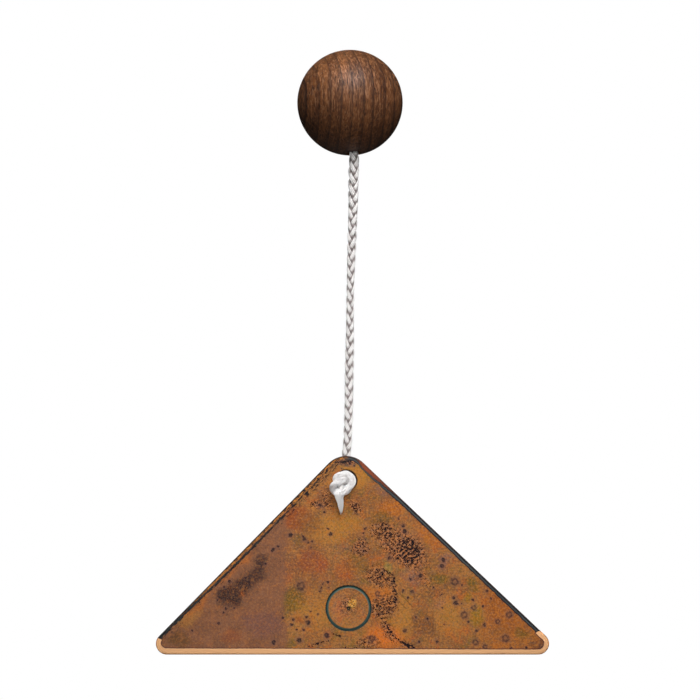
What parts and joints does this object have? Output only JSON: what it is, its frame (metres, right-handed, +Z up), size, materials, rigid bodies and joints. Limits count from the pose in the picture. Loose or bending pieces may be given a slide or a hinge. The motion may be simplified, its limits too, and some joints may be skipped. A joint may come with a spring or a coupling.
{
  "type": "struck plate triangle",
  "caption": "Thick copper triangle hung by a braided cord from a wooden ball handle; it is struck to ring.",
  "frame": {"origin": "centre of the ball handle, where the player holds it", "axes": "+Z up along the hang of the instrument, the plate's struck face looks along -Y, +X to the right as seen from the front"},
  "size_m": [0.1446, 0.04, 0.2292],
  "materials": {
    "walnut": "oiled, satin",
    "cord": "braided, matt",
    "copper": "copper with a heat and verdigris patina, edges ground bright"
  },
  "bodies": {
    "ball": {"handle_ball": "walnut"},
    "twist": {"cord_root": "cord"},
    "cord": {"hanging_cord": "cord"},
    "knot": {"lower_knot": "cord"},
    "plate": {"triangle_plate": "copper"}
  },
  "joints": [
    {"name": "cord_twist", "type": "hinge", "parent": "ball", "child": "twist", "pos_m": [0.00131, 0, -0.01875], "axis": [-0.0698, 0, 0.9976], "continuous": true},
    {"name": "cord_swing", "type": "hinge", "parent": "twist", "child": "cord", "pos_m": [0.00131, 0, -0.01875], "axis": [1, 0, 0], "range_deg": [-45, 45], "deforming": ["hanging_cord"]},
    {"name": "plate_nod", "type": "hinge", "parent": "cord", "child": "knot", "pos_m": [-0.0014, -0.00002, -0.13827], "axis": [1, 0, 0], "range_deg": [-20, 40], "deforming": ["hanging_cord"]},
    {"name": "plate_turn", "type": "hinge", "parent": "knot", "child": "plate", "pos_m": [-0.0014, -0.00448, -0.1456], "axis": [0, -0.9931, -0.117], "continuous": true}
  ]
}
